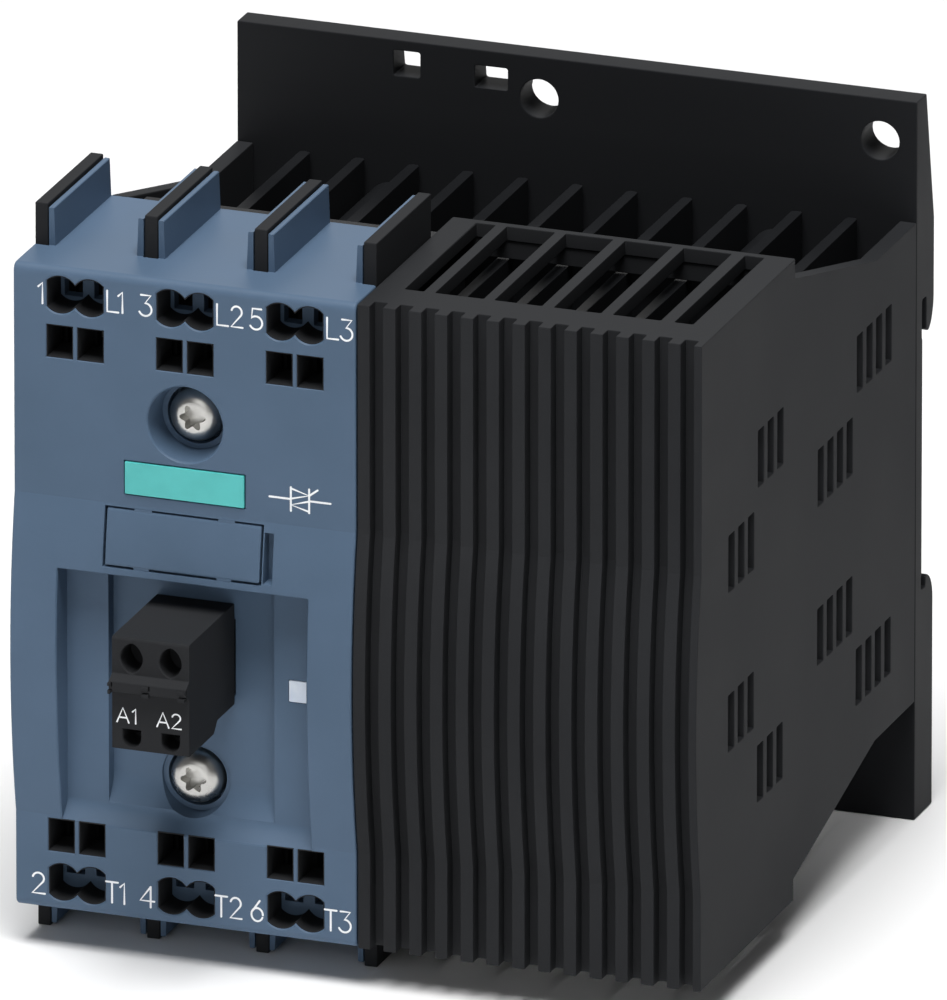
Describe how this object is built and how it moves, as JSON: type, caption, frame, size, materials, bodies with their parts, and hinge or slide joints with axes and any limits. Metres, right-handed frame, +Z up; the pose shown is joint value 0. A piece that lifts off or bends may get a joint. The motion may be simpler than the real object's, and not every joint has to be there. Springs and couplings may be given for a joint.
{
  "type": "solid state relay",
  "caption": "Three-phase solid state relay: slate-blue terminal hood beside a ribbed black fin cover, on a finned heat sink with a rail mounting plate.",
  "frame": {"origin": "middle of the flat seat face that lies against the mounting rail", "axes": "+Y out of the seat towards the rail and wall, -Y is the front with the terminals, +Z up, +X to the right seen from the front"},
  "size_m": [0.09, 0.0995, 0.095],
  "materials": {
    "slate_plastic": "fine-textured slate blue polyamide",
    "black_plastic": "fine-textured black polyamide",
    "black_anodised": "black anodised, satin",
    "teal_plate": "plain teal plate, satin",
    "light_guide": "milky clear",
    "zinc_steel": "bright zinc plated",
    "spring_steel": "bright rolled",
    "tinned_copper": "tin plated copper",
    "circuit_board": "green solder mask",
    "black_epoxy": "moulded epoxy",
    "ceramic": "white fired ceramic",
    "silicon": "polished",
    "thermal_pad": "matte",
    "varistor_blue": "dipped coating"
  },
  "bodies": {
    "relay": {"alumina_substrate": "ceramic", "badge": "teal_plate", "bottom_barriers": "black_plastic", "circuit_board": "circuit_board", "control_chip": "black_epoxy", "control_header": "black_plastic", "fin_cover": "black_plastic", "header_pin_1": "tinned_copper", "header_pin_2": "tinned_copper", "heat_sink": "black_anodised", "hood": "slate_plastic", "left_side_plate": "black_plastic", "light_guide": "light_guide", "line_bar_1": "tinned_copper", "line_bar_2": "tinned_copper", "line_bar_3": "tinned_copper", "line_terminal_block": "black_plastic", "load_bar_1": "tinned_copper", "load_bar_2": "tinned_copper", "load_bar_3": "tinned_copper", "load_terminal_block": "black_plastic", "lower_screw": "zinc_steel", "module_base_plate": "tinned_copper", "module_tray": "black_plastic", "mounting_plate": "black_anodised", "optocoupler_1": "black_epoxy", "optocoupler_2": "black_epoxy", "plate_screw_1": "zinc_steel", "plate_screw_2": "zinc_steel", "plate_screw_3": "zinc_steel", "plate_screw_4": "zinc_steel", "power_case": "black_epoxy", "status_led": "ceramic", "supply_capacitor": "zinc_steel", "thermal_pad": "thermal_pad", "thyristor_die_1": "silicon", "thyristor_die_2": "silicon", "thyristor_die_3": "silicon", "thyristor_die_4": "silicon", "top_barriers": "black_plastic", "upper_screw": "zinc_steel", "varistor_1": "varistor_blue", "varistor_2": "varistor_blue"},
    "plug": {"control_plug": "black_plastic", "plug_contact_1": "tinned_copper", "plug_contact_2": "tinned_copper"},
    "label_cover": {"label_cover": "slate_plastic"},
    "rail_spring": {"rail_spring": "spring_steel"},
    "line_clamp_1a": {"line_clamp_1a": "spring_steel"},
    "line_clamp_1b": {"line_clamp_1b": "spring_steel"},
    "line_clamp_2a": {"line_clamp_2a": "spring_steel"},
    "line_clamp_2b": {"line_clamp_2b": "spring_steel"},
    "line_clamp_3a": {"line_clamp_3a": "spring_steel"},
    "line_clamp_3b": {"line_clamp_3b": "spring_steel"},
    "load_clamp_1a": {"load_clamp_1a": "spring_steel"},
    "load_clamp_1b": {"load_clamp_1b": "spring_steel"},
    "load_clamp_2a": {"load_clamp_2a": "spring_steel"},
    "load_clamp_2b": {"load_clamp_2b": "spring_steel"},
    "load_clamp_3a": {"load_clamp_3a": "spring_steel"},
    "load_clamp_3b": {"load_clamp_3b": "spring_steel"}
  },
  "joints": [
    {"name": "plug_pull", "type": "slide", "parent": "relay", "child": "plug", "axis": [0, -1, 0], "range_m": [0, 0.02]},
    {"name": "label_cover_pull", "type": "slide", "parent": "relay", "child": "label_cover", "axis": [0, -1, 0], "range_m": [0, 0.01]},
    {"name": "rail_spring_press", "type": "slide", "parent": "relay", "child": "rail_spring", "axis": [0, 0, 1], "range_m": [0, 0.002], "stiffness_N_per_m": 1500, "springref_m": -0.001},
    {"name": "line_clamp_1a_open", "type": "hinge", "parent": "relay", "child": "line_clamp_1a", "pos_m": [-0.03885, -0.0728, 0.031], "axis": [-1, 0, 0], "range_deg": [0, 18], "stiffness_Nm_per_rad": 0.02, "springref_deg": -11.46},
    {"name": "line_clamp_1b_open", "type": "hinge", "parent": "relay", "child": "line_clamp_1b", "pos_m": [-0.03495, -0.0728, 0.031], "axis": [-1, 0, 0], "range_deg": [0, 18], "stiffness_Nm_per_rad": 0.02, "springref_deg": -11.46},
    {"name": "line_clamp_2a_open", "type": "hinge", "parent": "relay", "child": "line_clamp_2a", "pos_m": [-0.02445, -0.0728, 0.031], "axis": [-1, 0, 0], "range_deg": [0, 18], "stiffness_Nm_per_rad": 0.02, "springref_deg": -11.46},
    {"name": "line_clamp_2b_open", "type": "hinge", "parent": "relay", "child": "line_clamp_2b", "pos_m": [-0.02055, -0.0728, 0.031], "axis": [-1, 0, 0], "range_deg": [0, 18], "stiffness_Nm_per_rad": 0.02, "springref_deg": -11.46},
    {"name": "line_clamp_3a_open", "type": "hinge", "parent": "relay", "child": "line_clamp_3a", "pos_m": [-0.01005, -0.0728, 0.031], "axis": [-1, 0, 0], "range_deg": [0, 18], "stiffness_Nm_per_rad": 0.02, "springref_deg": -11.46},
    {"name": "line_clamp_3b_open", "type": "hinge", "parent": "relay", "child": "line_clamp_3b", "pos_m": [-0.00615, -0.0728, 0.031], "axis": [-1, 0, 0], "range_deg": [0, 18], "stiffness_Nm_per_rad": 0.02, "springref_deg": -11.46},
    {"name": "load_clamp_1a_open", "type": "hinge", "parent": "relay", "child": "load_clamp_1a", "pos_m": [-0.03885, -0.0728, -0.031], "axis": [1, 0, 0], "range_deg": [0, 18], "stiffness_Nm_per_rad": 0.02, "springref_deg": -11.46},
    {"name": "load_clamp_1b_open", "type": "hinge", "parent": "relay", "child": "load_clamp_1b", "pos_m": [-0.03495, -0.0728, -0.031], "axis": [1, 0, 0], "range_deg": [0, 18], "stiffness_Nm_per_rad": 0.02, "springref_deg": -11.46},
    {"name": "load_clamp_2a_open", "type": "hinge", "parent": "relay", "child": "load_clamp_2a", "pos_m": [-0.02445, -0.0728, -0.031], "axis": [1, 0, 0], "range_deg": [0, 18], "stiffness_Nm_per_rad": 0.02, "springref_deg": -11.46},
    {"name": "load_clamp_2b_open", "type": "hinge", "parent": "relay", "child": "load_clamp_2b", "pos_m": [-0.02055, -0.0728, -0.031], "axis": [1, 0, 0], "range_deg": [0, 18], "stiffness_Nm_per_rad": 0.02, "springref_deg": -11.46},
    {"name": "load_clamp_3a_open", "type": "hinge", "parent": "relay", "child": "load_clamp_3a", "pos_m": [-0.01005, -0.0728, -0.031], "axis": [1, 0, 0], "range_deg": [0, 18], "stiffness_Nm_per_rad": 0.02, "springref_deg": -11.46},
    {"name": "load_clamp_3b_open", "type": "hinge", "parent": "relay", "child": "load_clamp_3b", "pos_m": [-0.00615, -0.0728, -0.031], "axis": [1, 0, 0], "range_deg": [0, 18], "stiffness_Nm_per_rad": 0.02, "springref_deg": -11.46}
  ]
}
